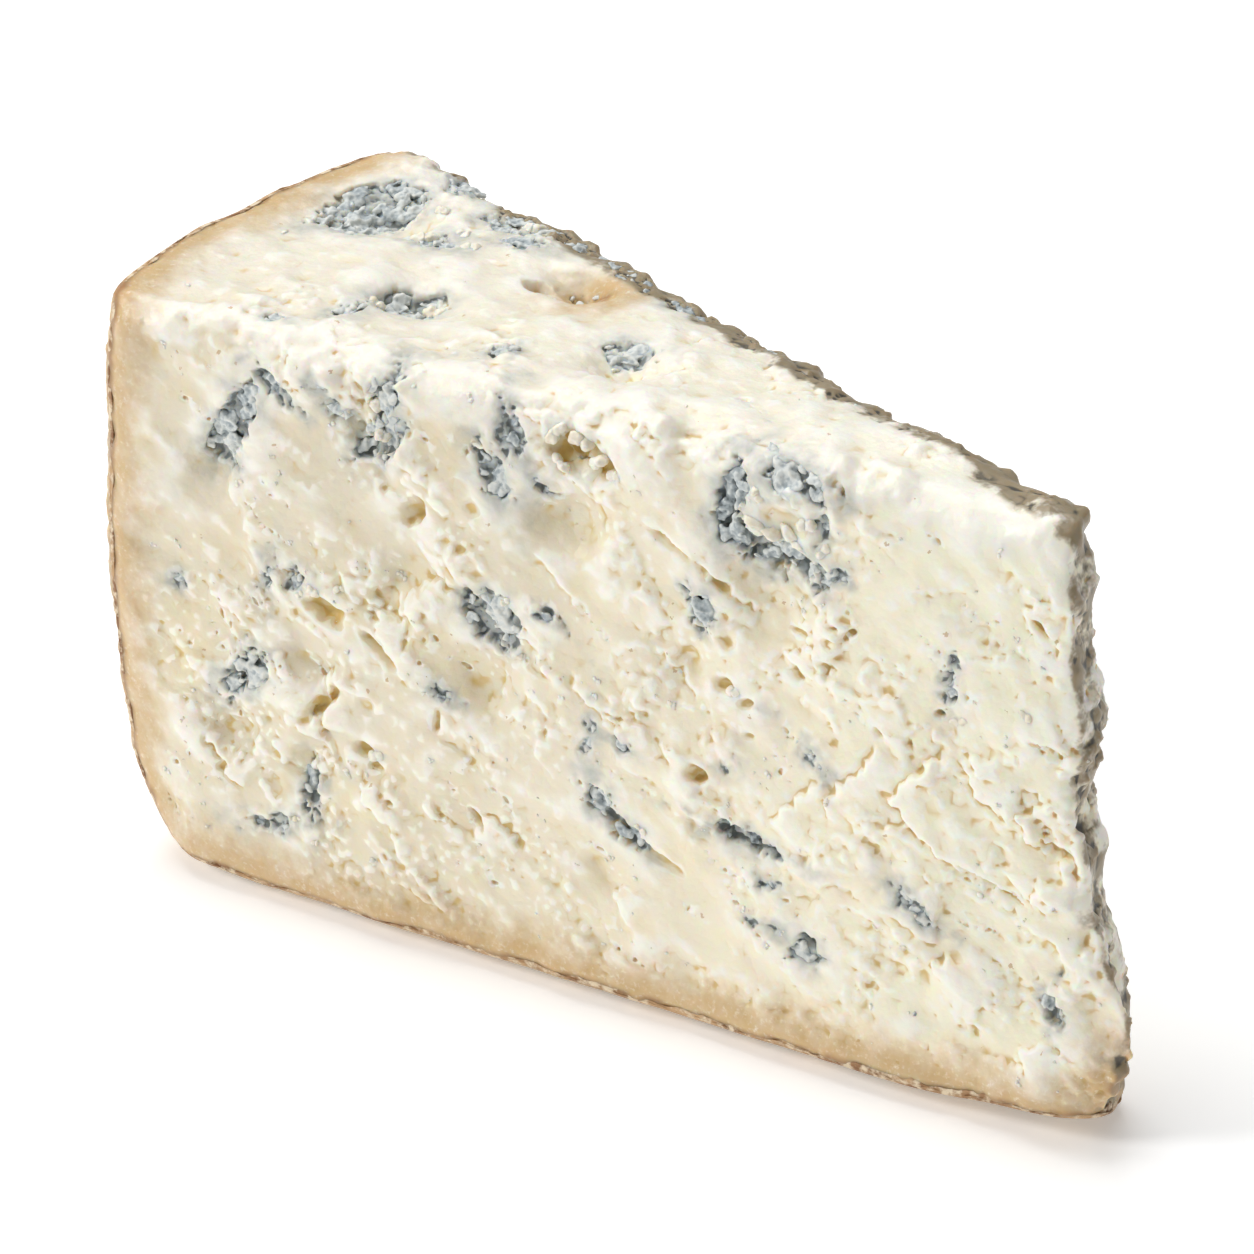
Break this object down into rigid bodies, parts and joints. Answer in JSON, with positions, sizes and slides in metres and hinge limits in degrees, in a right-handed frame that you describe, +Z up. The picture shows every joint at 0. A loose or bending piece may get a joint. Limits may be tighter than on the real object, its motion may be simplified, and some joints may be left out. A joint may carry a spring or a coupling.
{
  "type": "gorgonzola cheese wedge",
  "caption": "Wedge of blue-veined soft cheese cut from half a wheel, with rind underneath and on its curved outer side, standing on its rind.",
  "frame": {"origin": "bottom centre of the wedge's box, on the table under it", "axes": "+X along the front cut face from the rind to the tip, +Y from the front cut face to the back one, +Z up"},
  "size_m": [0.1568, 0.069, 0.0865],
  "materials": {
    "paste": "damp pale cream paste with blue-grey mould pockets and a thin tan rind"
  },
  "bodies": {
    "root": {"cheese_wedge": "paste"}
  },
  "joints": []
}
